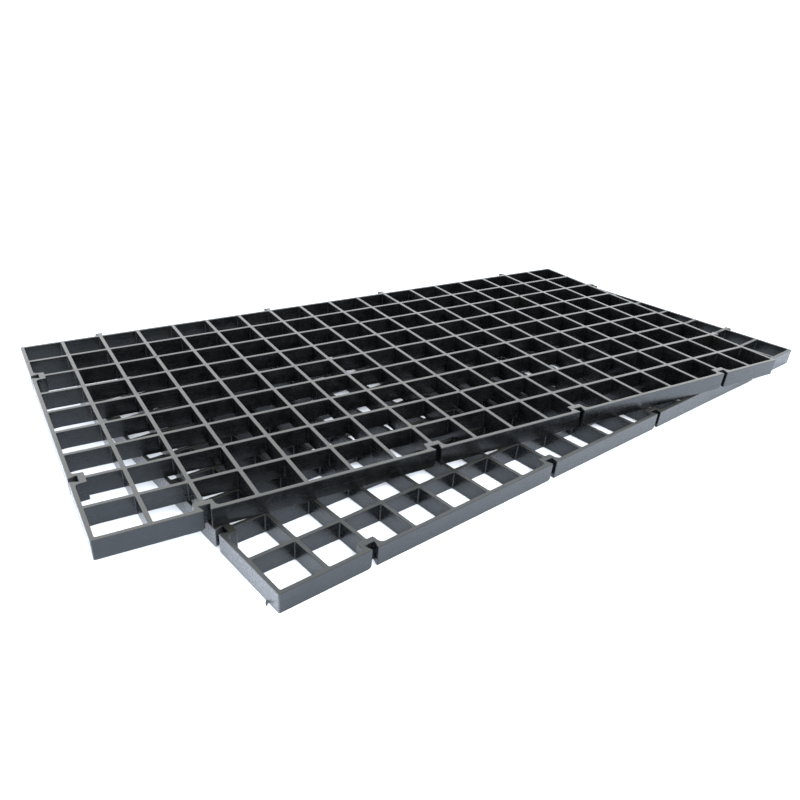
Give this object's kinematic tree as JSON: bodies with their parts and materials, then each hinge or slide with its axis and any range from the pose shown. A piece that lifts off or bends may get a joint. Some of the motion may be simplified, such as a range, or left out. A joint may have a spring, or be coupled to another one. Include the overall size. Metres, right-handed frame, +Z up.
{
  "type": "plug tray",
  "caption": "Open-bottom grid plug trays of dark recycled plastic with dovetail sockets and pegs on their edges, one stacked at a slight angle on the other.",
  "frame": {"origin": "centre of the pair's bounding box in plan, on the plane that the lower tray stands on", "axes": "+X along the lower tray's long side towards its right wall, +Y from its socket side to its peg side, +Z up"},
  "size_m": [0.6716, 0.3954, 0.028],
  "materials": {
    "lower_plastic": "satin moulded recycled polypropylene",
    "upper_plastic": "satin moulded recycled polypropylene"
  },
  "bodies": {
    "lower_tray": {"lower_front_wall": "lower_plastic", "lower_back_wall": "lower_plastic", "lower_left_wall": "lower_plastic", "lower_right_wall": "lower_plastic", "lower_long_ribs": "lower_plastic", "lower_cross_ribs": "lower_plastic", "lower_front_socket_jaws": "lower_plastic", "lower_front_socket_webs": "lower_plastic", "lower_left_socket_jaws": "lower_plastic", "lower_left_socket_webs": "lower_plastic", "lower_back_pegs": "lower_plastic", "lower_right_pegs": "lower_plastic"},
    "upper_tray": {"upper_front_wall": "upper_plastic", "upper_back_wall": "upper_plastic", "upper_left_wall": "upper_plastic", "upper_right_wall": "upper_plastic", "upper_long_ribs": "upper_plastic", "upper_cross_ribs": "upper_plastic", "upper_front_socket_jaws": "upper_plastic", "upper_front_socket_webs": "upper_plastic", "upper_left_socket_jaws": "upper_plastic", "upper_left_socket_webs": "upper_plastic", "upper_back_pegs": "upper_plastic", "upper_right_pegs": "upper_plastic"}
  },
  "joints": [
    {"name": "upper_tray_lift", "type": "slide", "parent": "lower_tray", "child": "upper_tray", "axis": [0, 0, 1], "range_m": [0, 0.1]}
  ]
}
